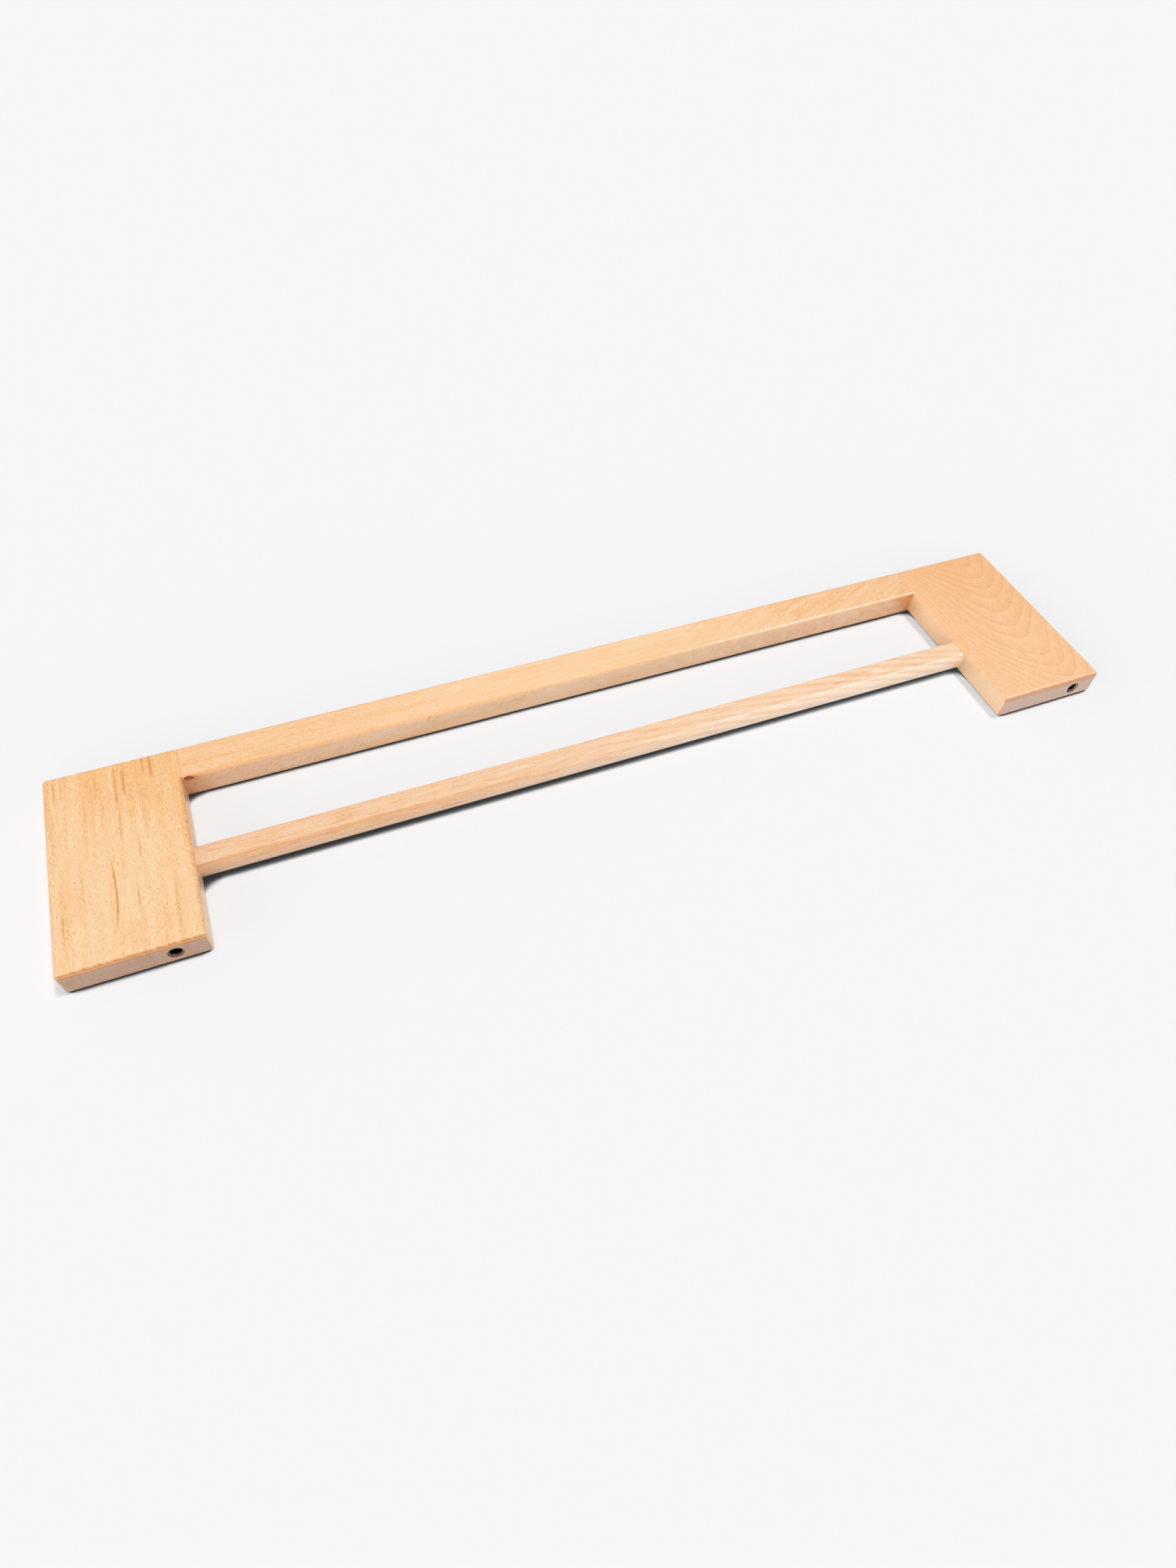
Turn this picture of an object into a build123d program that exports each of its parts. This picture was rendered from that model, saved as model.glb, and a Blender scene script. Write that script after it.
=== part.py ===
from build123d import *
import os

# Beech guard rail: two upright boards (posts) joined by a flush top rail and a lower bar.
# It lies on one broad side. X runs along the length, Y from the posts' mounting ends (-Y) to the
# back of the top rail (+Y), and Z is the thickness. The origin is the centre of the underside.
# All sizes are in millimetres.

# Overall frame
LENGTH = 950.0  # over both posts
DEPTH = 195.0  # a post's length, from its mounting end to the back of the rail
THICKNESS = 25.0  # of the posts and the top rail
POST_WIDTH = 109.0
RAIL_WIDTH = 36.0
EDGE_RADIUS = 3.5  # round-over of every outer edge, worked after the frame is glued up

# Lower bar: a round rod with two flats, one towards each broad side of the frame
BAR_DIAMETER = 25.0
BAR_ACROSS_FLATS = 18.0
BAR_FROM_END = 77.5  # the bar's axis to the posts' mounting ends
BAR_ARRIS_RADIUS = 1.5  # softened edge between a flat and the round

# Fluted dowels hidden in the joints, two at each end of the rail and of the bar
RAIL_DOWEL_DIAMETER = 8.0
RAIL_DOWEL_LENGTH = 40.0
RAIL_DOWEL_SPACING = 18.0
BAR_DOWEL_DIAMETER = 6.0
BAR_DOWEL_LENGTH = 30.0
BAR_DOWEL_SPACING = 11.0
DOWEL_CHAMFER = 0.8
FLUTE_COUNT = 10
FLUTE_RADIUS = 0.35
GLUE_GAP = 0.05  # round a dowel, on the radius
DOWEL_END_GAP = 1.0  # spare depth of a hole past the dowel's end

# M8 hexagon-drive insert nuts, one in the mounting end of each post
INSERT_FROM_LEFT = 83.0  # the insert's axis to its post's left (-X) side
INSERT_DIAMETER = 11.9
INSERT_LENGTH = 18.0
INSERT_CHAMFER = 0.5
INSERT_RECESS = 1.2  # below the post's end face
INSERT_HOLE_DIAMETER = 12.0
INSERT_HOLE_DEPTH = 25.0
HEX_ACROSS_FLATS = 8.0
HEX_DEPTH = 6.0
THREAD_BORE_DIAMETER = 6.8

# Places that follow from the sizes
HALF_LENGTH = LENGTH / 2
INNER_X = HALF_LENGTH - POST_WIDTH  # a post's inner side, where the rail and the bar end
END_Y = -DEPTH / 2
BACK_Y = DEPTH / 2
RAIL_FRONT_Y = BACK_Y - RAIL_WIDTH
RAIL_Y = BACK_Y - RAIL_WIDTH / 2
BAR_Y = END_Y + BAR_FROM_END
MID_Z = THICKNESS / 2
LEFT = -1
RIGHT = 1
INSERT_X = {
    LEFT: -HALF_LENGTH + INSERT_FROM_LEFT,
    RIGHT: INNER_X + INSERT_FROM_LEFT,
}
RAIL_DOWEL_Y = {
    "front": RAIL_Y - RAIL_DOWEL_SPACING / 2,
    "back": RAIL_Y + RAIL_DOWEL_SPACING / 2,
}
BAR_DOWEL_Y = {
    "front": BAR_Y - BAR_DOWEL_SPACING / 2,
    "back": BAR_Y + BAR_DOWEL_SPACING / 2,
}


def glued_frame():
    """Posts and top rail as one rounded-over blank, which frame_piece() then divides."""
    outline = Polyline(
        (-HALF_LENGTH, END_Y),
        (-INNER_X, END_Y),
        (-INNER_X, RAIL_FRONT_Y),
        (INNER_X, RAIL_FRONT_Y),
        (INNER_X, END_Y),
        (HALF_LENGTH, END_Y),
        (HALF_LENGTH, BACK_Y),
        (-HALF_LENGTH, BACK_Y),
        close=True,
    )
    blank = extrude(make_face(outline), amount=THICKNESS)
    upright_edges = blank.edges().filter_by(Axis.Z)
    # The two inner corners, where the rail meets the posts, stay sharp.
    outer_edges = [edge for edge in upright_edges if abs(edge.center().Y - RAIL_FRONT_Y) > EDGE_RADIUS]
    blank = fillet(outer_edges, EDGE_RADIUS)
    face_edges = blank.edges().group_by(Axis.Z)
    return fillet(face_edges[0] + face_edges[-1], EDGE_RADIUS)


def frame_piece(blank, x_from, x_to):
    """The part of the blank between two butt joints, or a joint and the end."""
    middle = Pos((x_from + x_to) / 2, 0, MID_Z)
    return blank & middle * Box(x_to - x_from, DEPTH, THICKNESS)


def along_x(radius, length, x_centre, y):
    """A cylinder parallel to X at mid-thickness."""
    return Pos(x_centre, y, MID_Z) * Rot(0, 90, 0) * Cylinder(radius, length)


def along_y(radius, y_from, y_to, x):
    """A cylinder parallel to Y at mid-thickness."""
    return Pos(x, (y_from + y_to) / 2, MID_Z) * Rot(90, 0, 0) * Cylinder(radius, y_to - y_from)


def dowel_holes(side):
    """The dowel holes across one post's inner side, each half in the post and half in the rail or bar."""
    holes = []
    for diameter, length, places in (
        (RAIL_DOWEL_DIAMETER, RAIL_DOWEL_LENGTH, RAIL_DOWEL_Y),
        (BAR_DOWEL_DIAMETER, BAR_DOWEL_LENGTH, BAR_DOWEL_Y),
    ):
        for y in places.values():
            hole = along_x(diameter / 2 + GLUE_GAP, length + 2 * DOWEL_END_GAP, side * INNER_X, y)
            holes.append(hole)
    return holes


def insert_hole(side):
    """The blind hole for the insert nut, drilled into the post's end grain."""
    return along_y(INSERT_HOLE_DIAMETER / 2, END_Y, END_Y + INSERT_HOLE_DEPTH, INSERT_X[side])


def post(blank, side):
    x_outer = side * HALF_LENGTH
    x_inner = side * INNER_X
    board = frame_piece(blank, min(x_outer, x_inner), max(x_outer, x_inner))
    return board - dowel_holes(side) - insert_hole(side)


def top_rail(blank):
    return frame_piece(blank, -INNER_X, INNER_X) - dowel_holes(LEFT) - dowel_holes(RIGHT)


def lower_bar():
    """Round rod with two flats, butted between the posts' inner sides."""
    round_section = Circle(BAR_DIAMETER / 2)
    section = round_section & Rectangle(BAR_DIAMETER, BAR_ACROSS_FLATS)
    section_plane = Plane(origin=(-INNER_X, BAR_Y, MID_Z), x_dir=(0, 1, 0), z_dir=(1, 0, 0))
    rod = extrude(section_plane * section, amount=2 * INNER_X)
    rod = fillet(rod.edges().filter_by(Axis.X), BAR_ARRIS_RADIUS)
    return rod - dowel_holes(LEFT) - dowel_holes(RIGHT)


def fluted_dowel(diameter, length, x, y):
    """A chamfered dowel with straight glue flutes, centred on a butt joint."""
    pin = Cylinder(diameter / 2, length)
    pin = chamfer(pin.edges().filter_by(GeomType.CIRCLE), DOWEL_CHAMFER)
    flutes = PolarLocations(diameter / 2, FLUTE_COUNT) * Cylinder(FLUTE_RADIUS, length)
    return Pos(x, y, MID_Z) * Rot(0, 90, 0) * (pin - flutes)


def insert_nut(side):
    """A tube with a hexagon socket at its mouth and a threaded bore behind it."""
    mouth_y = END_Y + INSERT_RECESS
    x = INSERT_X[side]
    body = along_y(INSERT_DIAMETER / 2, mouth_y, mouth_y + INSERT_LENGTH, x)
    body = chamfer(body.edges().filter_by(GeomType.CIRCLE), INSERT_CHAMFER)
    bore = along_y(THREAD_BORE_DIAMETER / 2, mouth_y, mouth_y + INSERT_LENGTH, x)
    socket_plane = Plane(origin=(x, mouth_y, MID_Z), x_dir=(1, 0, 0), z_dir=(0, 1, 0))
    hexagon = RegularPolygon(HEX_ACROSS_FLATS / 2, 6, major_radius=False)
    socket = extrude(socket_plane * hexagon, amount=HEX_DEPTH)
    return body - bore - socket


def guard_rail():
    """Every piece, by the name of its node."""
    blank = glued_frame()
    pieces = {"top_rail": top_rail(blank), "lower_bar": lower_bar()}
    for name, side in (("left", LEFT), ("right", RIGHT)):
        joint_x = side * INNER_X
        pieces[f"{name}_post"] = post(blank, side)
        pieces[f"{name}_insert_nut"] = insert_nut(side)
        for place, y in RAIL_DOWEL_Y.items():
            dowel = fluted_dowel(RAIL_DOWEL_DIAMETER, RAIL_DOWEL_LENGTH, joint_x, y)
            pieces[f"{name}_rail_dowel_{place}"] = dowel
        for place, y in BAR_DOWEL_Y.items():
            dowel = fluted_dowel(BAR_DOWEL_DIAMETER, BAR_DOWEL_LENGTH, joint_x, y)
            pieces[f"{name}_bar_dowel_{place}"] = dowel
    return pieces


os.makedirs("parts", exist_ok=True)
for node, shape in guard_rail().items():
    export_step(shape, f"parts/{node}.step")
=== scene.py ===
"""A beech guard rail lying on a pale floor: woods, metal inserts, light and camera.

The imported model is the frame. X runs along the rail, Y from the mounting ends (-Y) to the rail (+Y),
Z up. Lengths are metres unless a name ends in _MM; the wood patterns are worked out in millimetres.
"""
import math

import bpy
from mathutils import Matrix, Vector


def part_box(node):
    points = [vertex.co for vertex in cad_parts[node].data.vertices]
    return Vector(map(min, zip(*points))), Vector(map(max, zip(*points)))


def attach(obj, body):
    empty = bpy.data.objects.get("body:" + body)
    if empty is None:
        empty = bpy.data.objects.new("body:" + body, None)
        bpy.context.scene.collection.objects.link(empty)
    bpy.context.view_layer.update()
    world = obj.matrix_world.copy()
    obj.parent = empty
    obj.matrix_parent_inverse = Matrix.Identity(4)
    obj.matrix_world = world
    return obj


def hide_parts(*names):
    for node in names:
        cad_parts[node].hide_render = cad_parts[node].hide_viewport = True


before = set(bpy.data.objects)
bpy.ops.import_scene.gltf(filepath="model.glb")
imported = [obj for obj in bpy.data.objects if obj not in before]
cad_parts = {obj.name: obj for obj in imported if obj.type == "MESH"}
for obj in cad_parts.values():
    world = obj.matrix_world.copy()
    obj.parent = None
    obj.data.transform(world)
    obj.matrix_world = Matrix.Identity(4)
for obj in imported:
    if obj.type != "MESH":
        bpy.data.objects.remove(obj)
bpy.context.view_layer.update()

MM = 0.001
MM_PER_METRE = 1000.0
FULL_TURN = 2 * math.pi


def in_scene(name, data):
    """A new object, linked into the scene."""
    item = bpy.data.objects.new(name, data)
    bpy.context.scene.collection.objects.link(item)
    return item


# ---------------------------------------------------------------- numbers that vary over a surface

# The sockets of a Mix node that mixes colours
MIX_AMOUNT = 0
MIX_FIRST = 6
MIX_SECOND = 7
MIX_RESULT = 2


class Field:
    """A number that varies over a surface: one socket of a node tree."""

    def __init__(self, tree, socket):
        self.tree = tree
        self.socket = socket

    def _math(self, operation, *values, clamp=False):
        node = self.tree.nodes.new("ShaderNodeMath")
        node.operation = operation
        node.use_clamp = clamp
        for slot, value in zip(node.inputs, values):
            plug(self.tree, slot, value)
        return Field(self.tree, node.outputs[0])

    def __add__(self, other):
        return self._math("ADD", self, other)

    def __sub__(self, other):
        return self._math("SUBTRACT", self, other)

    def __rsub__(self, other):
        return self._math("SUBTRACT", other, self)

    def __mul__(self, other):
        return self._math("MULTIPLY", self, other)

    def __truediv__(self, other):
        return self._math("DIVIDE", self, other)

    def __pow__(self, power):
        return self._math("POWER", self, power)

    def __abs__(self):
        return self._math("ABSOLUTE", self)

    def least(self, other):
        return self._math("MINIMUM", self, other)

    def most(self, other):
        return self._math("MAXIMUM", self, other)

    def root(self):
        return self._math("SQRT", self)

    def fraction(self):
        return self._math("FRACT", self)

    def cosine(self):
        return self._math("COSINE", self)

    def clamped(self):
        return self._math("ADD", self, 0.0, clamp=True)

    def step(self, start, end):
        """0 at start, 1 at end, smooth between and level beyond. Start may be the larger."""
        node = self.tree.nodes.new("ShaderNodeMapRange")
        node.interpolation_type = "SMOOTHSTEP"
        if start < end:
            limits = (start, end, 0.0, 1.0)
        else:
            limits = (end, start, 1.0, 0.0)
        plug(self.tree, node.inputs[0], self)
        for slot, value in zip(node.inputs[1:5], limits):
            slot.default_value = value
        return Field(self.tree, node.outputs[0])

    def profile(self, stops):
        """The value at this place of a line drawn through (place, value) stops, placed from 0 to 1."""
        node = self.tree.nodes.new("ShaderNodeValToRGB")
        ramp = node.color_ramp
        ramp.interpolation = "LINEAR"
        while len(ramp.elements) < len(stops):
            ramp.elements.new(0.5)
        for element, (place, value) in zip(ramp.elements, stops):
            element.position = place
            element.color = (value, value, value, 1.0)
        plug(self.tree, node.inputs[0], self)
        return Field(self.tree, node.outputs[0])


def plug(tree, socket, value):
    """Links a field or a socket, or sets a plain value."""
    if isinstance(value, Field):
        value = value.socket
    if isinstance(value, bpy.types.NodeSocket):
        tree.links.new(value, socket)
    else:
        socket.default_value = value


class Nodes:
    """The node tree of a material or a world under construction."""

    def __init__(self, owner):
        owner.use_nodes = True
        self.tree = owner.node_tree
        self.tree.nodes.clear()

    def node(self, kind, **settings):
        """A new node, with its own settings. Its sockets are plugged later."""
        node = self.tree.nodes.new(kind)
        for name, value in settings.items():
            setattr(node, name, value)
        return node

    def split(self, socket):
        """The three parts of a vector."""
        node = self.node("ShaderNodeSeparateXYZ")
        plug(self.tree, node.inputs[0], socket)
        return [Field(self.tree, part) for part in node.outputs]

    def vector(self, x, y, z):
        """A vector from three parts, each a field or a plain number."""
        node = self.node("ShaderNodeCombineXYZ")
        for slot, value in zip(node.inputs, (x, y, z)):
            plug(self.tree, slot, value)
        return node.outputs[0]

    def mixed(self, amount, first, second):
        """The first colour at 0, the second at 1."""
        node = self.node("ShaderNodeMix", data_type="RGBA")
        plug(self.tree, node.inputs[MIX_AMOUNT], amount)
        plug(self.tree, node.inputs[MIX_FIRST], first)
        plug(self.tree, node.inputs[MIX_SECOND], second)
        return node.outputs[MIX_RESULT]

    def end(self, kind, shader):
        """Shows a shader through an output node."""
        output = self.node(kind)
        plug(self.tree, output.inputs["Surface"], shader.outputs[0])


class Material(Nodes):
    """A material under construction, with short calls for its textures and colours."""

    def __init__(self, name):
        self.made = bpy.data.materials.new(name)
        super().__init__(self.made)

    def place(self, origin):
        """X, Y and Z in millimetres from a point of the object, given in metres."""
        coordinates = self.node("ShaderNodeTexCoord")
        moved = self.node("ShaderNodeVectorMath", operation="SUBTRACT")
        plug(self.tree, moved.inputs[0], coordinates.outputs["Object"])
        moved.inputs[1].default_value = origin
        return [part * MM_PER_METRE for part in self.split(moved.outputs[0])]

    def facing(self):
        """The surface's direction in X, Y and Z of the object."""
        return self.split(self.node("ShaderNodeTexCoord").outputs["Normal"])

    def noise(self, vector, detail=2.0, roughness=0.5):
        """Soft noise about 0, from -1 to 1, one bump to a unit of the vector."""
        node = self.node("ShaderNodeTexNoise")
        plug(self.tree, node.inputs["Vector"], vector)
        node.inputs["Scale"].default_value = 1.0
        node.inputs["Detail"].default_value = detail
        node.inputs["Roughness"].default_value = roughness
        return (Field(self.tree, node.outputs["Fac"]) - 0.5) * 2.0

    def grains(self, vector):
        """Scattered points, one to a unit cell: the distance to the nearest, and its random number."""
        node = self.node("ShaderNodeTexVoronoi", voronoi_dimensions="2D")
        plug(self.tree, node.inputs["Vector"], vector)
        node.inputs["Scale"].default_value = 1.0
        split = self.node("ShaderNodeSeparateColor")
        plug(self.tree, split.inputs[0], node.outputs["Color"])
        return Field(self.tree, node.outputs["Distance"]), Field(self.tree, split.outputs[0])

    def stained(self, colour, tint, amount):
        """The colour multiplied by a tint, by an amount from 0 to 1 (or more, for a deeper stain)."""
        node = self.node("ShaderNodeMix", data_type="RGBA", blend_type="MULTIPLY", clamp_factor=False)
        plug(self.tree, node.inputs[MIX_AMOUNT], amount)
        plug(self.tree, node.inputs[MIX_FIRST], colour)
        node.inputs[MIX_SECOND].default_value = (*tint, 1.0)
        return node.outputs[MIX_RESULT]

    def bump(self, height, distance):
        """A normal that follows a height, one unit of which is this distance."""
        node = self.node("ShaderNodeBump")
        node.inputs["Distance"].default_value = distance
        plug(self.tree, node.inputs["Height"], height)
        return node.outputs[0]

    def finish(self, **inputs):
        """The surface shader, whose inputs are named with _ for a space."""
        shader = self.node("ShaderNodeBsdfPrincipled")
        for name, value in inputs.items():
            plug(self.tree, shader.inputs[name.replace("_", " ")], value)
        self.end("ShaderNodeOutputMaterial", shader)
        return self.made


# ---------------------------------------------------------------- beech

# The woods, before any tint
LEFT_POST_BEECH = (0.814, 0.562, 0.330, 1.0)
RIGHT_POST_BEECH = (0.800, 0.488, 0.264, 1.0)
RAIL_BEECH = (0.797, 0.517, 0.296, 1.0)
BAR_BEECH = (0.778, 0.526, 0.336, 1.0)
DOWEL_BEECH = (0.66, 0.43, 0.25, 1.0)

# Tints, which multiply the colour of the wood
LATEWOOD = (0.86, 0.74, 0.60)
# Orange wood, also used as painted shade on the rounded edges of the right post, the rail and the bar
ORANGE_AND_SHADE = (0.97, 0.82, 0.62)
# Pale wood, also used as painted sheen on the right post's sides and on the bar's front and underside
PALE_AND_SHEEN = (1.05, 1.12, 1.22)
FLECK = (0.74, 0.57, 0.39)
STREAK = (0.84, 0.56, 0.31)
PORES = (0.88, 0.80, 0.71)
KNOT = (0.36, 0.19, 0.11)
# Raw wood in the insert's hole
BORE = (0.66, 0.44, 0.32)
# End grain: its rays and pores, the round-over that meets it, and its orange top edge
END_RAYS = (0.86, 0.80, 0.74)
END_PORE = (0.66, 0.54, 0.44)
RIM = (0.74, 0.49, 0.28)
SOAKED = (0.61, 0.385, 0.235)
# Partly painted shade: the left end's grey is darker than the right end's
LEFT_END_GREY_AND_SHADE = (0.60, 0.53, 0.59)
RIGHT_END_GREY = (0.76, 0.83, 1.13)
DOWEL_END_GREY = (0.80, 0.84, 0.98)
# Painted light and shade: the rail's long sides made lighter and bluer, the right post's inner side made
# lighter near the rail, and the bar's upper round made darker
RAIL_SIDE_PAINTED_LIGHT = (1.07, 1.06, 1.13)
NEAR_RAIL_PAINTED_LIGHT = (1.11, 1.08, 1.06)
UPPER_ROUND_PAINTED_SHADE = (0.93, 0.86, 0.81)

THICKNESS_MM = 25.0
RAIL_LENGTH_MM = 732.0
# The insert's axis from its post's left side and from the floor, and its hole
INSERT_X_MM = 83.0
INSERT_Z_MM = 12.5
BORE_EDGE_MM = (6.5, 6.05)
BORE_END_MM = (32.0, 28.0)

# How far the flecks move across for each millimetre of depth, so that a side shows its own
FLECK_SHIFT = 0.9
LACQUER_RELIEF = 0.06 * MM
DOWEL_RELIEF = 0.05 * MM

# Marks along the grain of the left post: the place across, the start, the end and the width, all in
# millimetres from its near left corner, and then the strength
LEFT_POST_PALE_BANDS = (
    (17.5, -40.0, 160.0, 3.0, 0.5),
    (102.0, 0.0, 190.0, 2.5, 0.5),
)
LEFT_POST_DARK_BANDS = (
    (92.5, 8.0, 66.0, 2.2, 0.45),
    (26.0, 50.0, 100.0, 2.2, 0.35),
    (6.0, 80.0, 165.0, 3.5, 0.4),
)
LEFT_POST_STREAKS = (
    (65.0, 66.0, 38.0, 1.1, 0.9),
    (9.8, 55.0, 28.0, 1.3, 0.9),
    (70.2, 114.0, 84.0, 1.7, 0.6),
    (71.6, 92.0, 58.0, 0.6, 0.5),
    (63.5, 190.0, 152.0, 2.0, 1.0),
    (56.5, 196.0, 140.0, 2.0, 0.65),
    (8.7, 194.0, 160.0, 1.5, 0.85),
    (14.3, 196.0, 168.0, 0.9, 0.8),
    (86.0, 198.0, 166.0, 2.2, 1.0),
    (80.0, 200.0, 172.0, 1.2, 0.7),
    (41.0, 194.0, 150.0, 1.6, 0.5),
    (57.5, 146.0, 104.0, 1.8, 0.4),
)

# The right post's rings, counted along its middle from the mounting end
RING_SPACING_MM = 19.4
RING_START_MM = 5.0
# How far each ring's tip lies behind its even place
RING_SHIFTS_MM = (2.5, -3.4, -4.8, 3.8, 1.9, 3.0, 5.6, 1.2, -2.0)
# How the latewood and the pale early wood run from one ring (0) to the next (1)
RING_LINE = [(0.0, 0.8), (0.04, 1.0), (0.12, 0.45), (0.42, 0.12), (0.80, 0.0), (0.93, 0.1), (1.0, 0.8)]
RING_GLOW = [(0.0, 0.0), (0.35, 0.0), (0.80, 0.9), (0.90, 1.0), (0.96, 0.2), (1.0, 0.0)]

# The bar's growth lines, and their sharper form at its right
BAR_RING_MM = 8.6
BAR_LINE = [(0.0, 0.9), (0.12, 1.0), (0.40, 0.3), (0.62, 0.0), (0.85, 0.1), (1.0, 0.9)]


def dashes(wood, across, along, cell, size=(0.10, 0.30)):
    """Short dark ray flecks, one to a cell of (across, along) millimetres, some fainter than others.

    The size is the dark core and the whole fleck, as radii in shares of a cell.
    """
    core, whole = size
    distance, chance = wood.grains(wood.vector(across / cell[0], along / cell[1], 0.0))
    return distance.step(whole, core) * (chance * 0.65 + 0.35)


def fibres(wood, across, along, deep, width, length):
    """Fine lines along the grain, about 0."""
    vector = wood.vector(across / width, along / length, deep / width)
    return wood.noise(vector, detail=3.0, roughness=0.6)


def textured(wood, colour, across, along, deep, stripes):
    """Soft stripes, fine fibre lines and short pores along the grain, and the relief that they make."""
    stripe = fibres(wood, across - 30.0, along, deep, width=1.5, length=26.0)
    fine = fibres(wood, across, along, deep, width=0.40, length=8.0)
    short = fibres(wood, across + 30.0, along, deep, width=0.42, length=2.6)
    colour = wood.stained(colour, ORANGE_AND_SHADE, ((stripe * 1.7 + 0.06) * stripes).clamped())
    colour = wood.stained(colour, PALE_AND_SHEEN, (stripe * -1.1 * stripes).clamped())
    colour = wood.stained(colour, LATEWOOD, (fine * 0.9 + 0.05).clamped())
    colour = wood.stained(colour, PORES, (short * 1.6 - 0.05).clamped())
    return colour, fine * 0.4


def streak(across, along, place, start, end, width, bow=0.0):
    """A long mark along the grain: its place across, its two ends, its width, and how far it bows."""
    middle = (start + end) / 2
    half = abs(end - start) / 2
    run = (along - middle) / half
    offset = across - place
    if bow:
        offset = offset + run * run * bow
    return abs(offset / width).step(1.0, 0.1) * abs(run).step(1.0, 0.35)


def banded(wood, colour, across, along, tint, bands):
    """Wide faint stripes along the grain, from rows of place, start, end, width and strength."""
    for *band, strength in bands:
        colour = wood.stained(colour, tint, streak(across, along, *band) * strength)
    return colour


def side_grain(along_grain):
    """1 on the sides, where flecks show, and 0 on end grain."""
    return abs(along_grain).step(0.9, 0.6)


def round_over(facing, up):
    """1 in the middle of a rounded edge between a side and the top or bottom, 0 on both of them."""
    return (abs(facing) * abs(up) * 2.0).clamped()


def turned(x, y, cosine, sine):
    """Places across and along a grain that slants in the plane of x and y."""
    return x * cosine - y * sine, x * sine + y * cosine


def lacquered(wood, colour, height, coat=0.60, haze=0.24):
    """Satin clear lacquer over the wood, with the grain just showing through as relief."""
    return wood.finish(
        Base_Color=colour,
        Roughness=0.46,
        Specular_IOR_Level=0.35,
        Coat_Weight=coat,
        Coat_Roughness=haze,
        Normal=wood.bump(height, LACQUER_RELIEF),
    )


def cut_ends(wood, colour, place, along_grain, up, grey, strength, stain=0.0):
    """End grain: greyer and darker, lined with rays, with ragged orange where the round-over meets it.

    The strength is that of the orange round-over. The stain is that of the orange that runs down the
    sawn face from its top edge.
    """
    x, y, z = place
    end = abs(along_grain)
    sawn = (end - abs(up) * 0.8).step(0.70, 0.90)
    vector = wood.vector((x + z * 1.6) / 2.2, y / 5.0, z / 6.0)
    ragged = wood.noise(vector, detail=3.0, roughness=0.6)
    soaked = sawn * (z + ragged * 3.0).step(17.0, 22.0) * stain
    rim = (end + ragged * 0.26).step(0.25, 0.85) * (1.0 - sawn)
    colour = wood.stained(colour, RIM, (rim * (ragged * 0.7 + 0.95)).clamped() * strength)
    colour = wood.stained(colour, SOAKED, soaked)
    sawn = sawn * (1.0 - soaked)
    colour = wood.stained(colour, grey, sawn)
    rays = wood.noise(wood.vector(x / 0.8, y / 5.0, z / 7.0))
    colour = wood.stained(colour, END_RAYS, (sawn * (rays * 1.1 + 0.25)).clamped())
    pores, chance = wood.grains(wood.vector(x / 0.6, z / 1.1, 0.0))
    return wood.stained(colour, END_PORE, sawn * pores.step(0.34, 0.12) * chance * 0.55)


def bore_wall(wood, colour, place):
    """Raw darker wood in the hole for the insert nut and just round its mouth."""
    x, y, z = place
    radius = ((x - INSERT_X_MM) ** 2.0 + (z - INSERT_Z_MM) ** 2.0).root()
    return wood.stained(colour, BORE, radius.step(*BORE_EDGE_MM) * y.step(*BORE_END_MM))


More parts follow.
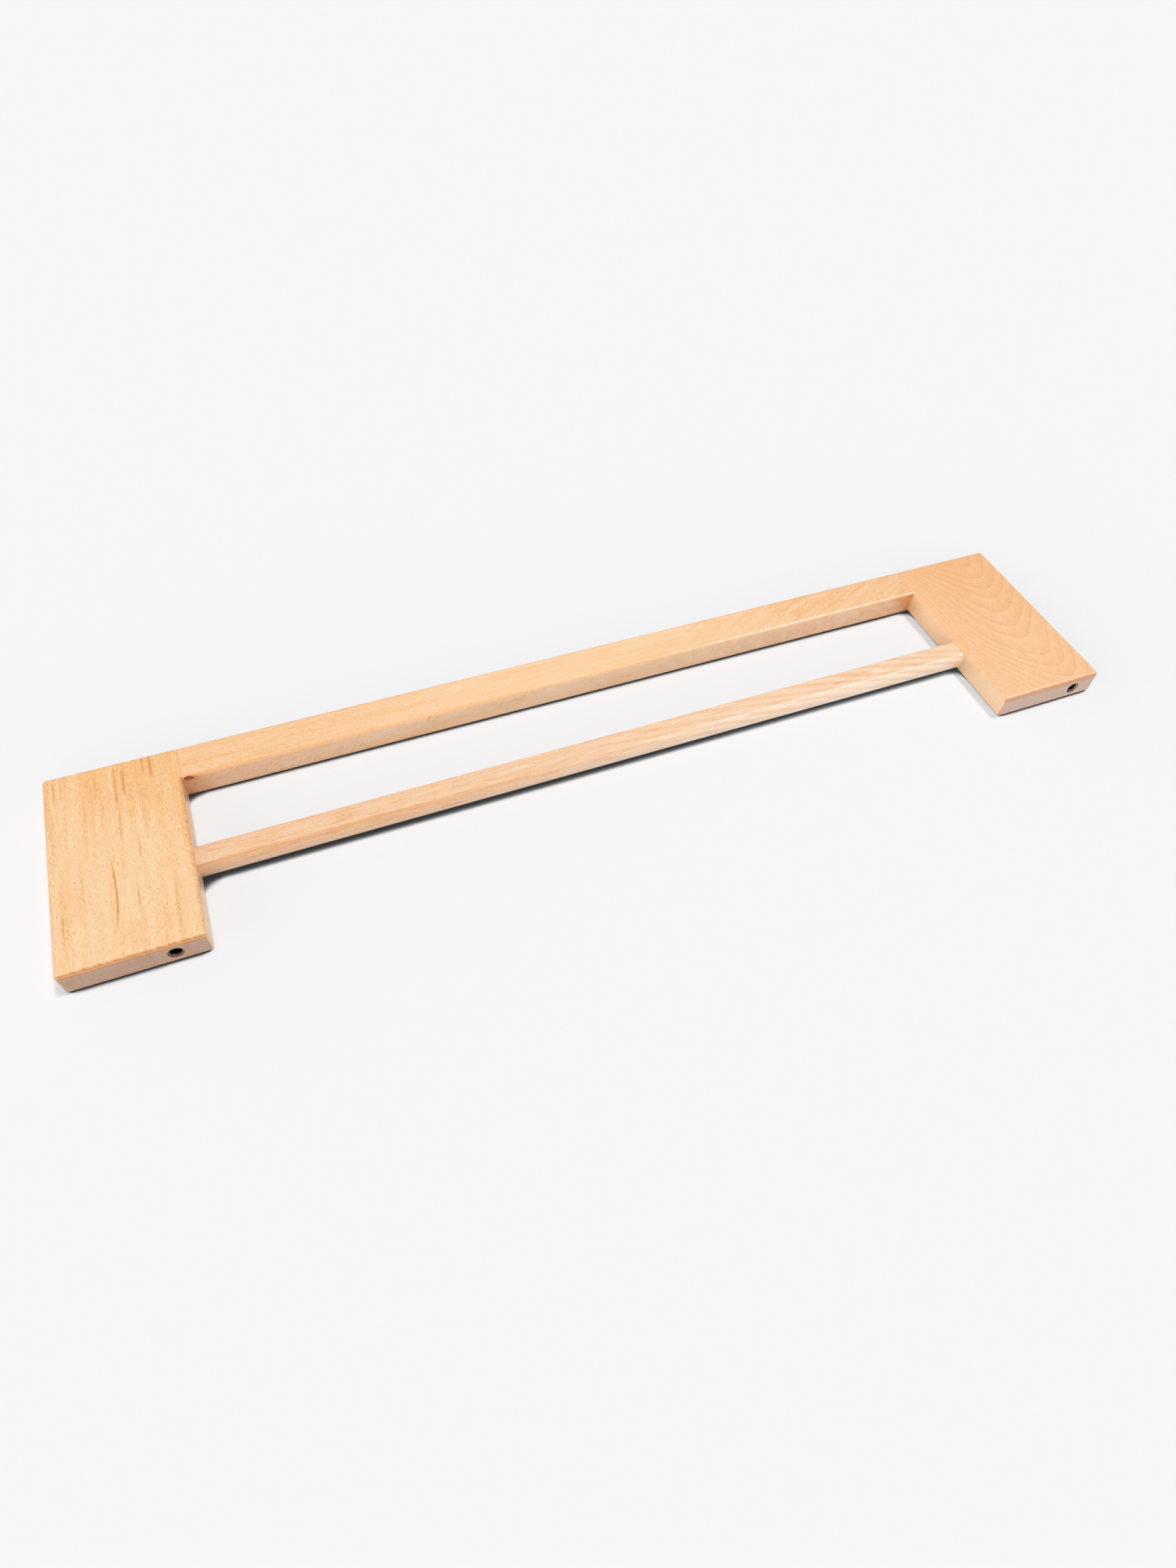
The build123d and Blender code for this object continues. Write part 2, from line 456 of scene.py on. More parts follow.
def left_post_wood(corner):
    """Flat-sawn beech: dense flecks along Y, soft orange bands, and a few brown streaks."""
    wood = Material("left_post_beech")
    x, y, z = wood.place(corner)
    facing = wood.facing()
    on_sides = side_grain(facing[1])
    drift = wood.noise(wood.vector(x / 30.0, y / 60.0, z / 30.0)) * 1.6
    lean = (115.0 - y).most(0.0) * 0.13
    across = x + drift

    back = y.step(80.0, 190.0)
    far_corner = (x * 0.5 + y).step(135.0, 225.0)
    bands = wood.noise(wood.vector(across / 5.0, y / 130.0, z / 30.0), detail=3.0)
    cloud = wood.noise(wood.vector(x / 26.0, y / 42.0, z / 30.0))
    orange = bands * (back * 0.9 + 0.9) + cloud * 0.5 + 0.12 + back * 0.12 + far_corner * 0.75
    colour = wood.stained(LEFT_POST_BEECH, ORANGE_AND_SHADE, orange.clamped())
    light = wood.noise(wood.vector(across / 8.0 + 40.0, y / 110.0, z / 30.0))
    colour = wood.stained(colour, PALE_AND_SHEEN, (light * 1.3 - 0.1).clamped())
    colour = banded(wood, colour, x, y, PALE_AND_SHEEN, LEFT_POST_PALE_BANDS)
    colour = banded(wood, colour, across, y, LATEWOOD, LEFT_POST_DARK_BANDS)
    colour = wood.stained(colour, ORANGE_AND_SHADE, round_over(facing[0], facing[2]) * 0.9)
    colour, relief = textured(wood, colour, across - lean, y, z, stripes=0.6)

    shifted = across - lean + z * FLECK_SHIFT
    crowd = wood.noise(wood.vector(x / 14.0, y / 25.0, z / 14.0)) * 0.5 + 0.8
    fleck = dashes(wood, shifted, y, cell=(0.92, 8.5), size=(0.08, 0.28)) * on_sides
    small = dashes(wood, shifted + 50.0, y, cell=(0.70, 4.8), size=(0.07, 0.28)) * on_sides
    colour = wood.stained(colour, FLECK, (fleck * crowd * 1.15).clamped())
    colour = wood.stained(colour, FLECK, small * 0.55)

    # The longest mark is stained here and again with the others, so that it is the darkest.
    marks = streak(x, y, 49.4, 100.0, 20.0, 1.30, bow=3.2)
    colour = wood.stained(colour, STREAK, marks * 0.5)
    for *mark, strength in LEFT_POST_STREAKS:
        marks = marks.most(streak(across - drift * 0.6, y, *mark) * strength)
    ragged = wood.noise(wood.vector(x / 0.5, y / 4.0, z))
    colour = wood.stained(colour, STREAK, (marks * (ragged * 0.8 + 0.8)).clamped())

    level = abs(facing[2]).step(0.1, 0.5)
    rim = level * 0.95 + 0.15
    place = (x, y, z)
    # The left end's darker grey is partly painted shade
    colour = cut_ends(wood, colour, place, facing[1], facing[2], LEFT_END_GREY_AND_SHADE, rim, stain=0.95)
    colour = bore_wall(wood, colour, place)
    return lacquered(wood, colour, relief - fleck * 0.4)


def fall_back(offset, tip_radius):
    """How far a curve has fallen back at an offset from its rounded tip."""
    return (offset ** 2.0 + tip_radius * tip_radius).root() - tip_radius


def arches(x, y):
    """How far behind its tip each nested arch passes, wider at the left of the tip than at the right."""
    tip = (y * (FULL_TURN / 150.0)).cosine() * 5.0 + 75.5
    left = (x - tip).least(0.0)
    right = (x - tip).most(0.0)
    flare = left * left * (0.004 - left * 0.0002)
    return fall_back(left * 0.95, 17.0) + flare + fall_back(right * 1.6, 20.0)


def ring_age(distance):
    """0 at a ring's latewood to 1 just before the next, with the rings unevenly spaced."""
    count = (distance - RING_START_MM) / RING_SPACING_MM
    last = len(RING_SHIFTS_MM) - 1
    low = min(RING_SHIFTS_MM)
    spread = max(RING_SHIFTS_MM) - low
    stops = []
    for ring, shift in enumerate(RING_SHIFTS_MM):
        stops.append((ring / last, (shift - low) / spread))
    shift = (count / last).clamped().profile(stops) * spread + low
    return (count - shift / RING_SPACING_MM).fraction()


def right_post_wood(corner):
    """Flat-sawn beech with a cathedral figure: nested arches whose tips point to the mounting end."""
    wood = Material("right_post_beech")
    x, y, z = wood.place(corner)
    facing = wood.facing()
    wobble = wood.noise(wood.vector(x / 14.0, y / 22.0, z / 14.0), detail=3.0) * 2.2
    depth = THICKNESS_MM - z
    age = ring_age(y - arches(x, y) + depth * 4.5 + wobble)
    faint = wood.noise(wood.vector(x / 9.0, y / 16.0, z / 9.0)) * 0.5 + 0.75
    top = abs(facing[2]).step(0.5, 0.95)
    line = age.profile(RING_LINE) * faint * (top * 0.8 + 0.2) * (x.step(0.0, 55.0) * 0.4 + 0.6)

    back = (y + x * 0.6).step(60.0, 230.0)
    cloud = wood.noise(wood.vector(x / 40.0, y / 60.0, z / 40.0))
    colour = wood.stained(RIGHT_POST_BEECH, ORANGE_AND_SHADE, (back * 0.5 + cloud * 0.35).clamped())
    side = abs(facing[0]).step(0.5, 0.95)
    # Painted sheen and light: the sides are made paler and bluer, and lighter still near the rail
    colour = wood.stained(colour, PALE_AND_SHEEN, side)
    colour = wood.stained(colour, NEAR_RAIL_PAINTED_LIGHT, side * y.step(60.0, 150.0))
    colour = wood.stained(colour, PALE_AND_SHEEN, age.profile(RING_GLOW) * 0.30)
    # Partly painted shade: the rounded edges are stained orange, which also darkens them
    colour = wood.stained(colour, ORANGE_AND_SHADE, round_over(facing[0], facing[2]) * 0.4)
    broken = wood.noise(wood.vector(x / 0.8, y / 3.0, z / 2.0)) * 1.6 + 0.8
    colour = wood.stained(colour, LATEWOOD, (line * broken * 0.58).clamped())

    across = x + wobble * 0.4
    colour, relief = textured(wood, colour, across, y, z, stripes=0.25)
    shifted = across + z * FLECK_SHIFT
    fleck = dashes(wood, shifted, y, cell=(0.85, 4.4), size=(0.06, 0.30)) * side_grain(facing[1])
    colour = wood.stained(colour, FLECK, fleck * (line * 0.55 + 0.38))
    place = (x, y, z)
    colour = cut_ends(wood, colour, place, facing[1], facing[2], RIGHT_END_GREY, 0.9, stain=0.45)
    colour = bore_wall(wood, colour, place)
    return lacquered(wood, colour, relief - fleck * 0.3)


def rail_wood(corner):
    """A batten, its grain along X: flecks on top, slanting figure at the right, rays on its sides."""
    wood = Material("rail_beech")
    x, y, z = wood.place(corner)
    facing = wood.facing()
    top = abs(facing[2]).step(0.5, 0.9)
    side = abs(facing[1]).step(0.5, 0.9)
    left = x.step(420.0, 120.0)
    middle = abs(x - 380.0).step(330.0, 60.0)
    right = x.step(330.0, 620.0)
    drift = wood.noise(wood.vector(x / 90.0, y / 25.0, z / 25.0)) * 2.0
    across = y + drift

    colour = wood.stained(RAIL_BEECH, PALE_AND_SHEEN, middle * 0.95)
    bands = wood.noise(wood.vector(x / 130.0, across / 4.5, z / 20.0), detail=3.0)
    slant_across, slant_along = turned(x, y, 0.42, 0.9)
    slant = wood.noise(wood.vector(slant_across / 3.6, slant_along / 38.0, z / 9.0), detail=3.0)
    figure = bands * (1.0 - right) + slant * right * 1.5
    colour = wood.stained(colour, ORANGE_AND_SHADE, (figure * 1.1 + 0.15 + right * 0.12).clamped())
    colour = wood.stained(colour, PALE_AND_SHEEN, (figure * -0.7 - 0.1).clamped())
    # Partly painted shade: the rounded edges are stained orange, which also darkens them
    colour = wood.stained(colour, ORANGE_AND_SHADE, round_over(facing[1], facing[2]) * 0.9)
    colour, relief = textured(wood, colour, across, x, z, stripes=0.7)
    # Painted light: the long sides are made lighter and bluer, less so in the middle
    colour = wood.stained(colour, RAIL_SIDE_PAINTED_LIGHT, side * (1.0 - middle * 0.6))

    on_top = top * side_grain(facing[0])
    shifted = across + z * FLECK_SHIFT
    fleck = dashes(wood, shifted, x + y * 0.8, cell=(0.95, 6.0), size=(0.06, 0.28)) * on_top
    colour = wood.stained(colour, FLECK, fleck * (left * 0.3 + 0.45) * (1.0 - right))
    slanted = dashes(wood, slant_across, slant_along, cell=(1.3, 7.0), size=(0.05, 0.30))
    colour = wood.stained(colour, FLECK, slanted * on_top * right * 0.75)
    ray_across, ray_along = turned(x, z, 0.64, 0.77)
    ray_across = ray_across + drift * 0.3
    ray = dashes(wood, ray_across, ray_along, cell=(2.2, 13.0), size=(0.05, 0.29)) * side
    rare = wood.noise(wood.vector(x / 45.0, y / 30.0, z / 16.0)) * 1.6 + 0.55
    colour = wood.stained(colour, FLECK, (ray * rare).clamped() * (left * 0.3 + 0.7))

    # Brown near both joints, the knot by the left one, and the joints' own lines
    near_joints = (x.step(30.0, 2.0) + x.step(696.0, 729.0)) * side
    colour = wood.stained(colour, STREAK, near_joints * 0.8)
    knot_x = (x - 6.0) / 4.2
    knot_y = (y - 0.8) / 2.6
    knot_z = (z - 22.3) / 1.9
    ragged = wood.noise(wood.vector(x / 3.0, y / 2.0, z / 2.0)) * 0.6
    radius = (knot_x * knot_x + knot_z * knot_z + knot_y * knot_y).root() + ragged
    knot = radius.step(1.08, 0.84)
    colour = wood.stained(colour, ORANGE_AND_SHADE, radius.step(2.4, 1.0))
    colour = wood.stained(colour, KNOT, knot * (radius.step(0.2, 0.8) * 0.38 + 0.72))
    far_joint = x.step(RAIL_LENGTH_MM - 0.7, RAIL_LENGTH_MM - 0.2) * 0.5
    colour = wood.stained(colour, STREAK, (x.step(0.7, 0.2) + far_joint) * 0.7)
    return lacquered(wood, colour, relief - fleck * 0.4 - ray * 0.4 - knot * 2.5)


def bar_wood(corner):
    """A turned rod: long slanting growth lines that rise, level out and fall along X."""
    wood = Material("bar_beech")
    x, y, z = wood.place(corner)
    facing = wood.facing()
    right = x.step(150.0, 620.0)
    wobble = wood.noise(wood.vector(x / 60.0, y / 10.0, z / 10.0), detail=3.0) * 5.0
    run = x - 190.0
    ring = (y + run * run * 0.00027 + z * 0.9 + wobble) / BAR_RING_MM
    soft = (ring * FULL_TURN).cosine() * 0.5 + 0.5
    line = soft * (1.0 - right) + ring.fraction().profile(BAR_LINE) * right
    patchy = wood.noise(wood.vector(x / 80.0, y / 14.0, z / 14.0)) * 0.6 + 0.6
    colour = wood.stained(BAR_BEECH, PALE_AND_SHEEN, right * 0.5 + x.step(60.0, 300.0) * 0.4)
    colour = wood.stained(colour, ORANGE_AND_SHADE, (line * patchy * (right * 0.75 + 0.55)).clamped())
    colour = wood.stained(colour, PALE_AND_SHEEN, ((1.0 - line) * right * 0.45).clamped())
    # Partly painted shade: the rounded edge is stained orange at the left, which also darkens it
    edge = round_over(facing[1], facing[2])
    colour = wood.stained(colour, ORANGE_AND_SHADE, edge * x.step(480.0, 150.0))

    towards_front = facing[1] * -1.0
    # Painted reflection: the front is made paler and bluer, more towards the right
    colour = wood.stained(colour, PALE_AND_SHEEN, towards_front.step(0.35, 0.95) * (right * 0.5 + 0.7))
    # Painted shade: the upper front round is darker at the left
    upper_round_shade = towards_front.step(0.5, 0.9) * facing[2].step(-0.45, 0.10)
    colour = wood.stained(colour, UPPER_ROUND_PAINTED_SHADE, upper_round_shade * (1.0 - right))
    # Painted reflection of the floor: the underside is made paler
    colour = wood.stained(colour, PALE_AND_SHEEN, (facing[2] * -1.0).step(0.0, 0.5))

    across = y + wobble
    brown = fibres(wood, across + 60.0, x, z, width=1.3, length=34.0)
    colour = wood.stained(colour, STREAK, (brown * 1.8 - 0.10).clamped() * (1.0 - right * 0.6))
    colour, relief = textured(wood, colour, across, x, z, stripes=1.0)
    shifted = y + z * FLECK_SHIFT
    fleck = dashes(wood, shifted, x, cell=(1.1, 5.0), size=(0.06, 0.28)) * side_grain(facing[0])
    colour = wood.stained(colour, FLECK, fleck * 0.50)
    mark_y = y - 10.5
    mark_x = x - 592.0 + mark_y * 2.0
    mark = ((mark_x / 5.0) ** 2.0 + (mark_y / 1.3) ** 2.0).root().step(1.0, 0.3)
    colour = wood.stained(colour, STREAK, mark * facing[2].step(0.3, 0.8))
    return lacquered(wood, colour, relief - fleck * 0.7, coat=1.0, haze=0.34)


def dowel_wood():
    """Unlacquered dowel beech, pressed smooth by the fluting rolls."""
    wood = Material("dowel_beech")
    x, y, z = wood.place((0.0, 0.0, 0.0))
    facing = wood.facing()
    fine = fibres(wood, y, x, z, width=0.35, length=9.0)
    colour = wood.stained(DOWEL_BEECH, LATEWOOD, (fine * 0.7 + 0.25).clamped())
    fleck = dashes(wood, y + z * FLECK_SHIFT, x, cell=(0.9, 3.5))
    colour = wood.stained(colour, FLECK, fleck * 0.6)
    colour = cut_ends(wood, colour, (y, x, z), facing[0], facing[2], DOWEL_END_GREY, 0.3)
    return wood.finish(
        Base_Color=colour,
        Roughness=0.68,
        Specular_IOR_Level=0.25,
        Normal=wood.bump(fine - fleck, DOWEL_RELIEF),
    )


# ---------------------------------------------------------------- insert nuts

# The dull face is also darkened as painted shade of its recess, and the bore's near black is painted
# shade
DULL_ZINC_AND_SHADE = (0.30, 0.265, 0.22, 1.0)
RUBBED_ZINC = (0.92, 0.88, 0.80, 1.0)
BORE_SHADE = (0.030, 0.026, 0.022, 1.0)
# The middle of the mouth's ring face, and half its width
WORN_RADIUS_MM = 5.35
WORN_HALF_WIDTH_MM = 0.45
TURNING_RELIEF = 0.01 * MM

INSERT_LENGTH = 18 * MM
SOCKET_DEPTH = 6 * MM
HEX_ACROSS_FLATS = 8 * MM
# The hexagon's corners are cut back to this share of the radius of its flats.
HEX_CORNER = 1.135
COLLAR_RADIUS = 5.9 * MM
OUTER_ROOT_RADIUS = 4.9 * MM
OUTER_PITCH = 3 * MM
INNER_CREST_RADIUS = 3.4 * MM
INNER_ROOT_RADIUS = 4.0 * MM
INNER_PITCH = 1.25 * MM
# The countersunk mouth
LEAD_DEPTH = 1.3 * MM
LEAD_RADIUS = 5.0 * MM
# The rounded outer rim, and the outer radius of the far end
RIM_DEPTH = 0.35 * MM
TIP_RADIUS = OUTER_ROOT_RADIUS - 0.5 * MM

# Points round the insert, and rows along its section
AROUND = 144
ROWS_PER_OUTER_PITCH = 14
ROWS_PER_INNER_PITCH = 10
SOCKET_ROWS = 8
SHARP_DEGREES = 38


def zinc(name, mouth):
    """Old zinc plating: bright on the worn rim, dull on the face, with painted shade: darker on the face
    and nearly black in the bore.
    """
    metal = Material(name)
    x, y, z = metal.place(mouth)
    radius = (x * x + z * z).root()
    cloud = metal.noise(metal.vector(x / 1.6, y / 1.6, z / 1.6), detail=3.0)
    turning = metal.noise(metal.vector(x / 6.0, y / 0.12, z / 6.0))
    ring_face = (abs(radius - WORN_RADIUS_MM) / WORN_HALF_WIDTH_MM).step(1.0, 0.3)
    rubbed = ring_face * (cloud * 1.5 + 0.45).clamped()
    # Painted shade: nearly black inside the bore
    bore_shade = y.step(0.1, 0.5) * radius.step(5.05, 4.90)
    colour = metal.mixed(rubbed, DULL_ZINC_AND_SHADE, RUBBED_ZINC)
    colour = metal.mixed(bore_shade, colour, BORE_SHADE)
    return metal.finish(
        Base_Color=colour,
        Metallic=1.0,
        Roughness=(cloud * 0.12 + 0.30).clamped(),
        Normal=metal.bump(turning, TURNING_RELIEF),
    )


def ease(value, start, end):
    """0 at start, 1 at end, smooth between."""
    t = min(max((value - start) / (end - start), 0.0), 1.0)
    return t * t * (3 - 2 * t)


def hexagon(angle):
    """The socket's radius at an angle, its corners slightly rounded."""
    turn = (angle + math.pi / 6) % (math.pi / 3) - math.pi / 6
    sharp = HEX_ACROSS_FLATS / 2 / math.cos(turn)
    return min(sharp, HEX_ACROSS_FLATS / 2 * HEX_CORNER)


def inner_thread(angle, depth):
    """The M8 thread in the bore behind the socket."""
    phase = (depth / INNER_PITCH - angle / FULL_TURN) % 1.0
    groove = 1 - abs(2 * phase - 1)
    fade = ease(depth, SOCKET_DEPTH + 0.4 * MM, SOCKET_DEPTH + 1.4 * MM)
    fade *= 1 - ease(depth, INSERT_LENGTH - 1.2 * MM, INSERT_LENGTH - 0.3 * MM)
    cut = min(max(1.35 * groove - 0.15, 0.0), 1.0)
    return INNER_CREST_RADIUS + (INNER_ROOT_RADIUS - INNER_CREST_RADIUS) * cut * fade


def outer_thread(angle, depth):
    """The coarse knife-edged thread that cuts into the wood, below a plain collar."""
    phase = (depth / OUTER_PITCH - angle / FULL_TURN) % 1.0
    ridge = max(1 - abs(2 * phase - 1) * 2.6, 0.0)
    fade = ease(depth, 2.2 * MM, 3.6 * MM)
    fade *= 1 - ease(depth, INSERT_LENGTH - 2.4 * MM, INSERT_LENGTH - 0.6 * MM)
    collar = 1 - ease(depth, 1.6 * MM, 2.0 * MM)
    return OUTER_ROOT_RADIUS + (COLLAR_RADIUS - OUTER_ROOT_RADIUS) * max(ridge * fade, collar)


def insert_section():
    """The insert's section as a closed loop of (depth, radius at an angle), from the rim round."""
    # The rounded rim
    loop = [
        (0.0, lambda a: COLLAR_RADIUS - 0.45 * MM),
        (0.08 * MM, lambda a: COLLAR_RADIUS - 0.18 * MM),
        (RIM_DEPTH, lambda a: COLLAR_RADIUS),
    ]
    # The collar and the outer thread
    threaded = INSERT_LENGTH - 2 * RIM_DEPTH
    rows = round(threaded / (OUTER_PITCH / ROWS_PER_OUTER_PITCH))
    for k in range(1, rows):
        depth = RIM_DEPTH + threaded * k / rows
        loop.append((depth, lambda a, d=depth: outer_thread(a, d)))
    # The far end
    loop.append((INSERT_LENGTH - 0.2 * MM, lambda a: TIP_RADIUS + 0.35 * MM))
    loop.append((INSERT_LENGTH, lambda a: TIP_RADIUS))
    loop.append((INSERT_LENGTH, lambda a: INNER_ROOT_RADIUS + 0.1 * MM))
    # The inner thread, back towards the mouth
    bore = INSERT_LENGTH - SOCKET_DEPTH
    rows = round(bore / (INNER_PITCH / ROWS_PER_INNER_PITCH))
    for k in range(rows, 0, -1):
        depth = SOCKET_DEPTH + 0.25 * MM + (bore - 0.35 * MM) * k / rows
        loop.append((depth, lambda a, d=depth: inner_thread(a, d)))
    # The socket's floor, its flats and the countersink
    loop.append((SOCKET_DEPTH + 0.1 * MM, lambda a: INNER_CREST_RADIUS + 0.1 * MM))
    for k in range(SOCKET_ROWS + 1):
        depth = SOCKET_DEPTH + (LEAD_DEPTH - SOCKET_DEPTH) * k / SOCKET_ROWS
        loop.append((depth, hexagon))
    loop.append((LEAD_DEPTH * 0.55, lambda a: max(hexagon(a), LEAD_RADIUS - 0.30 * MM)))
    loop.append((0.16 * MM, lambda a: LEAD_RADIUS))
    loop.append((0.0, lambda a: LEAD_RADIUS + 0.16 * MM))
    return loop


def insert_mesh(name, mouth):
    """A closed tube swept round +Y from the centre of its mouth, its faces turned outwards."""
    loop = insert_section()
    points = []
    for depth, radius in loop:
        for k in range(AROUND):
            angle = FULL_TURN * k / AROUND
            r = radius(angle)
            points.append(mouth + Vector((r * math.cos(angle), depth, r * math.sin(angle))))
    faces = []
    for row in range(len(loop)):
        this = row * AROUND
        after = (row + 1) % len(loop) * AROUND
        for k in range(AROUND):
            turn = (k + 1) % AROUND
            faces.append((this + k, after + k, after + turn, this + turn))
    mesh = bpy.data.meshes.new(name)
    mesh.from_pydata(points, [], faces)
    mesh.validate()
    mesh.shade_smooth()
    mesh.set_sharp_from_angle(angle=math.radians(SHARP_DEGREES))
    return in_scene(name, mesh)


def insert_nut(side):
    """The threaded insert that stands for a post's plain CAD insert."""
    node = f"{side}_insert_nut"
    low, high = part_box(node)
    mouth = Vector(((low.x + high.x) / 2, low.y, (low.z + high.z) / 2))
    piece = insert_mesh(f"{side}_threaded_insert", mouth)
    piece.data.materials.append(zinc(f"{side}_zinc_plate", mouth))
    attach(piece, "root")
    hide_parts(node)


# ---------------------------------------------------------------- floor

FLOOR_REACH = 24.0
FLOOR_COLOUR = (0.433, 0.40, 0.376)
FLOOR_GLOW = 0.405
GLOW_COLOUR = (0.89, 1.0, 1.09, 1.0)

# How far the contact line looks, and which way: up, and towards pieces that stand behind it
CONTACT_REACH = 16 * MM
CONTACT_WAY = (0.0, 0.60, 0.80)
CONTACT_SAMPLES = 32
# Painted shadow: how light the floor is painted, by how open it is to that side
CONTACT_SHADOW = [(0.0, 0.04), (0.29, 0.06), (0.315, 0.16), (0.335, 0.38), (0.35, 0.72), (0.365, 1.0)]
# The bar stands clear of the floor, so that the painted shadow under it is broader.
BAR_SHADOW = [
    (0.0, 0.05),
    (0.34, 0.075),
    (0.372, 0.21),
    (0.413, 0.50),
    (0.435, 0.68),
    (0.458, 0.92),
    (0.48, 1.0),
]
BAR_SHADOW_Y_MM = -26.0
BAR_SHADOW_EDGE_MM = (19.0, 16.0)
# Both painted shadows are thinner towards the right.
THINNER = 0.035
THINNER_FROM_MM = (330.0, 370.0)
BAR_THINNER = 0.045
BAR_THINNER_FROM_MM = (-250.0, 300.0)


def floor():
    """A plain pale light table, with a painted contact shadow along the front of whatever stands on it.

    It is one wide triangle, because the contact line would also find an edge inside the floor.
    """
    mesh = bpy.data.meshes.new("floor")
    corners = []
    for degrees in (-90, 30, 150):
        angle = math.radians(degrees)
        corners.append((FLOOR_REACH * math.cos(angle), FLOOR_REACH * math.sin(angle), 0.0))
    mesh.from_pydata(corners, [], [(0, 1, 2)])
    piece = in_scene("floor", mesh)
    surface = Material("pale_floor")
    tree = surface.tree
    openness = surface.node("ShaderNodeAmbientOcclusion", samples=CONTACT_SAMPLES)
    openness.inputs["Distance"].default_value = CONTACT_REACH
    # The way has to be linked: an unlinked normal would be the floor's own.
    plug(tree, openness.inputs["Normal"], surface.vector(*CONTACT_WAY))
    x, y, _ = surface.place((0.0, 0.0, 0.0))
    under_bar = abs(y - BAR_SHADOW_Y_MM).step(*BAR_SHADOW_EDGE_MM)
    thinner = x.step(*THINNER_FROM_MM) * THINNER
    bar_thinner = x.step(*BAR_THINNER_FROM_MM) * under_bar * BAR_THINNER
    clear = Field(tree, openness.outputs["AO"]) + thinner + bar_thinner
    # Painted shadow: the floor's colour and glow are darkened near the pieces
    beside = clear.profile(CONTACT_SHADOW) * (1.0 - under_bar)
    light = beside + clear.profile(BAR_SHADOW) * under_bar
    diffuse = surface.node("ShaderNodeBsdfDiffuse")
    colour = [light * part for part in FLOOR_COLOUR]
    plug(tree, diffuse.inputs["Color"], surface.vector(*colour))
    glow = surface.node("ShaderNodeEmission")
    glow.inputs["Color"].default_value = GLOW_COLOUR
    plug(tree, glow.inputs["Strength"], light * FLOOR_GLOW)
    both = surface.node("ShaderNodeAddShader")
    plug(tree, both.inputs[0], diffuse.outputs[0])
    plug(tree, both.inputs[1], glow.outputs[0])
    surface.end("ShaderNodeOutputMaterial", both)
    mesh.materials.append(surface.made)


# ---------------------------------------------------------------- light and camera

BACKDROP = 0.93
SKY = 0.29
LEFT_GLOW = 3.1
FRONT_GLOW = 1.52
# How much of those glows the lacquer doesn't mirror, so that no low view is lost in glare
GLOSS_DIMMING = 0.9
COOL = (0.94, 1.0, 1.10, 1.0)
WHITE = (1.0, 1.0, 1.0, 1.0)
WARM = (1.03, 1.0, 0.955)
HIGHLIGHT_BLUE = (0.52, 0.88, 1.25)

CAMERA_PLACE = Vector((-0.25126, -0.52881, 0.67648))
CAMERA_AIM = Vector((-0.0394, -0.0505, 0.0125))
CAMERA_ROLL_DEGREES = 3.417
CAMERA_LENS_MM = 22.175
CAMERA_SENSOR_MM = 36.0
CAMERA_CLIP_START = 10 * MM


def sky():
    """Even white surroundings, brighter low down at the left and the front, as from tall diffusers."""
    world = bpy.data.worlds.new("studio")
    bpy.context.scene.world = world
    air = Nodes(world)
    tree = air.tree
    x, y, z = air.split(air.node("ShaderNodeTexCoord").outputs["Generated"])
    low = abs(z).step(0.75, 0.15)
    left = (x * -1.0).most(0.0) ** 2.0
    front = (y * -1.0).most(0.0) ** 2.0
    path = air.node("ShaderNodeLightPath")
    seen = Field(tree, path.outputs["Is Camera Ray"])
    mirrored = Field(tree, path.outputs["Is Glossy Ray"])
    glow = low * (left * LEFT_GLOW + front * FRONT_GLOW) * (1.0 - mirrored * GLOSS_DIMMING)
    strength = (glow + SKY) * (1.0 - seen) + seen * BACKDROP
    background = air.node("ShaderNodeBackground")
    plug(tree, background.inputs["Color"], air.mixed(seen, COOL, WHITE))
    plug(tree, background.inputs["Strength"], strength)
    air.end("ShaderNodeOutputWorld", background)


def sun(name, direction, strength, degrees):
    """Parallel light from a direction, without highlights. Its size in degrees softens its shadows."""
    data = bpy.data.lights.new(name, "SUN")
    data.energy = strength
    data.color = WARM
    data.angle = math.radians(degrees)
    lamp = in_scene(name, data)
    lamp.rotation_euler = Vector(direction).to_track_quat("Z", "Y").to_euler()
    lamp.visible_glossy = False


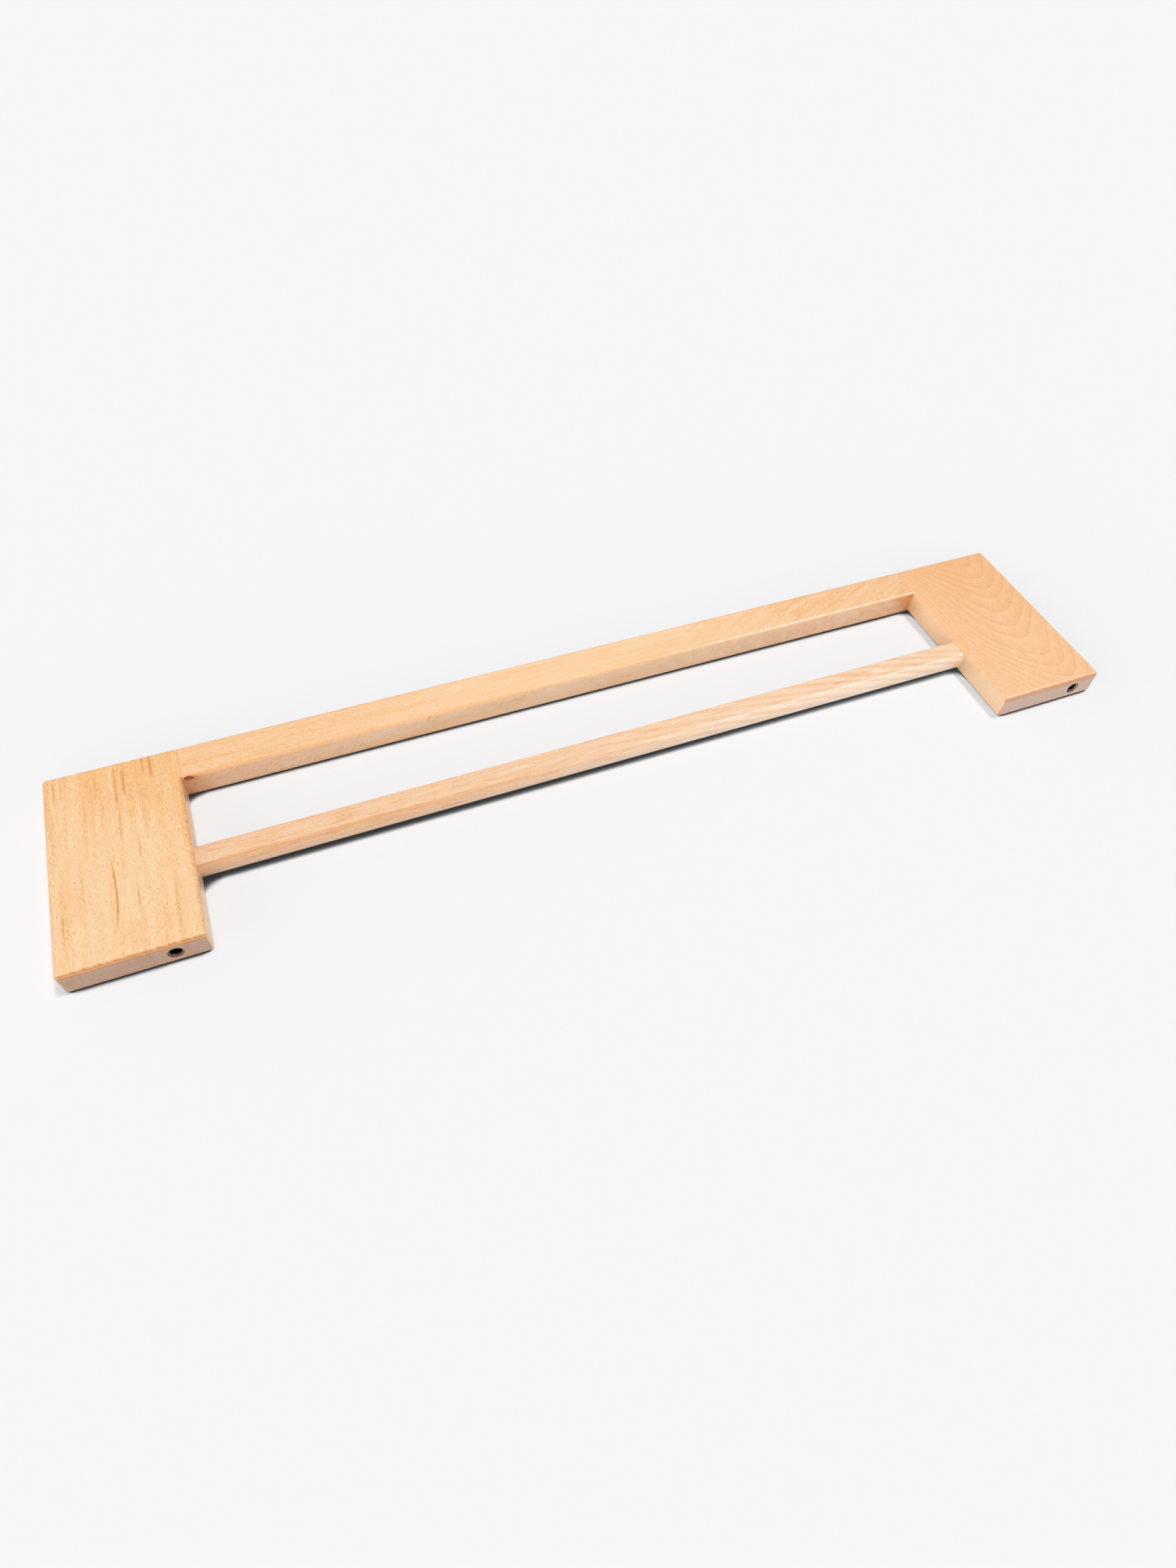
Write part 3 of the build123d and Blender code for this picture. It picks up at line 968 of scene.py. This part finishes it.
def softbox(name, place, aim, size, power, colour):
    """A rectangular light, its short side along X, that only shows as a highlight in the lacquer."""
    data = bpy.data.lights.new(name, "AREA")
    data.shape = "RECTANGLE"
    data.size, data.size_y = size
    data.energy = power
    data.color = colour
    lamp = in_scene(name, data)
    away = (Vector(place) - Vector(aim)).normalized()
    wide = (Vector((1.0, 0.0, 0.0)) - away * away.x).normalized()
    turn = Matrix((wide, away.cross(wide), away)).transposed().to_4x4()
    lamp.matrix_world = Matrix.Translation(place) @ turn
    lamp.visible_diffuse = False


def camera():
    """The camera, slightly rolled, looking down on the rail from its front left."""
    data = bpy.data.cameras.new("camera")
    data.lens = CAMERA_LENS_MM
    data.sensor_width = CAMERA_SENSOR_MM
    data.clip_start = CAMERA_CLIP_START
    piece = in_scene("camera", data)
    upright = (CAMERA_AIM - CAMERA_PLACE).to_track_quat("-Z", "Y").to_matrix().to_4x4()
    roll = Matrix.Rotation(math.radians(CAMERA_ROLL_DEGREES), 4, "Z")
    piece.matrix_world = Matrix.Translation(CAMERA_PLACE) @ upright @ roll
    bpy.context.scene.camera = piece


# ---------------------------------------------------------------- the scene


def paint(node, material):
    """Gives a CAD node its material, in every slot."""
    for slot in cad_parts[node].material_slots:
        slot.material = material


bpy.context.scene.view_settings.view_transform = "Standard"
camera()
floor()
sky()
sun("key_light", direction=(0.31, 0.0, 1.0), strength=2.03, degrees=9.0)
sun("top_light", direction=(0.0, 0.09, 1.0), strength=0.56, degrees=4.0)
softbox(
    "highlight_softbox",
    place=(2.10, -0.95, 3.15),
    aim=(0.2, 0.0, 0.0),
    size=(1.2, 2.0),
    power=125.0,
    colour=HIGHLIGHT_BLUE,
)

for node, wood in (
    ("left_post", left_post_wood),
    ("right_post", right_post_wood),
    ("top_rail", rail_wood),
    ("lower_bar", bar_wood),
):
    low_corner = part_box(node)[0]
    paint(node, wood(low_corner))
plain_dowel = dowel_wood()
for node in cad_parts:
    if "dowel" in node:
        paint(node, plain_dowel)
for side in ("left", "right"):
    insert_nut(side)
